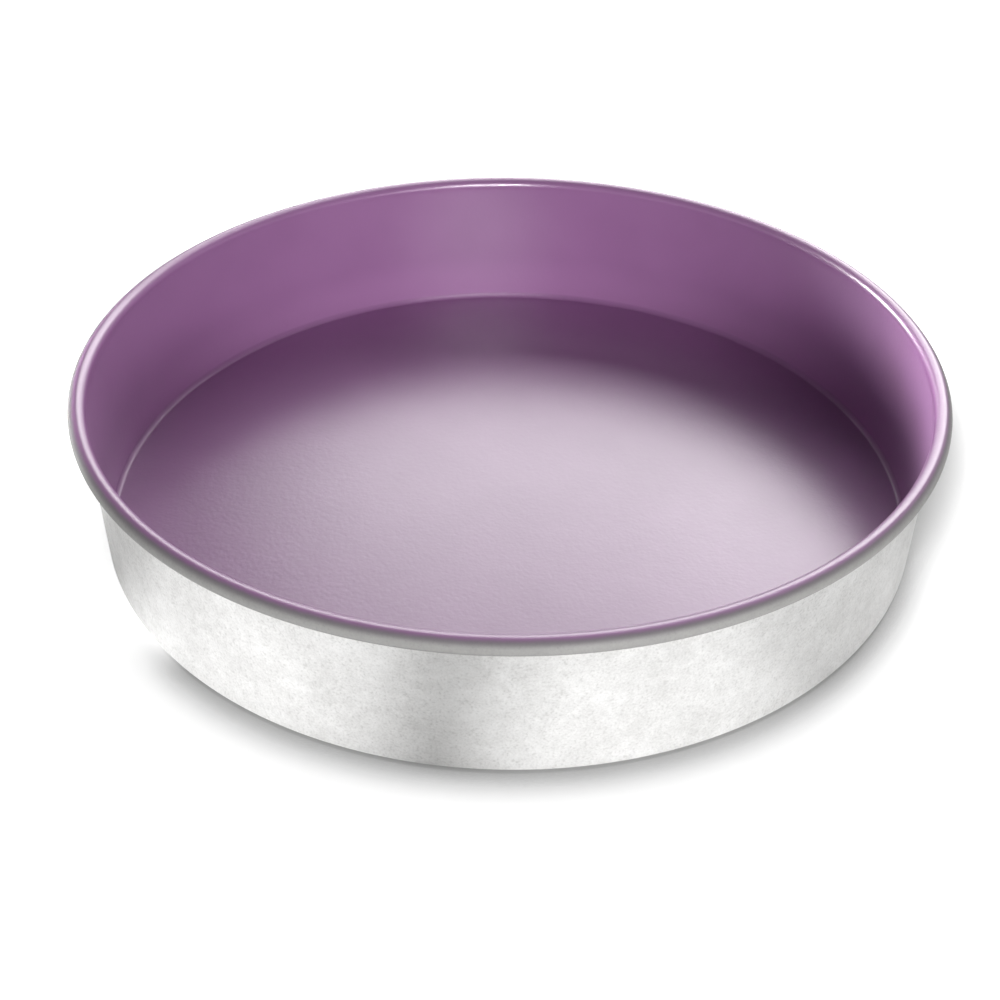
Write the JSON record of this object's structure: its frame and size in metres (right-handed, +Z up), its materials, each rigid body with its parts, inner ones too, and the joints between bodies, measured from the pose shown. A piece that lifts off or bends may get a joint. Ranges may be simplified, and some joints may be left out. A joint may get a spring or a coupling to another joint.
{
  "type": "round cake tin",
  "caption": "Round straight-sided cake tin of drawn sheet steel with a rim rolled over a stiffening wire and a coloured non-stick lining inside.",
  "frame": {"origin": "centre of the underside, on the surface that the tin stands on", "axes": "+Z up along the tin's axis and out of its mouth; the tin is round, so +X and +Y are any two level directions"},
  "size_m": [0.2704, 0.2704, 0.0503],
  "materials": {
    "shell_steel": "bare aluminised steel, pale satin grey with fine mottling",
    "wire_steel": "drawn steel wire, plain grey",
    "lining": "satin purple ceramic non-stick film with a fine orange-peel texture"
  },
  "bodies": {
    "root": {"pan_shell": "shell_steel", "rim_wire": "wire_steel", "nonstick_lining": "lining"}
  },
  "joints": []
}
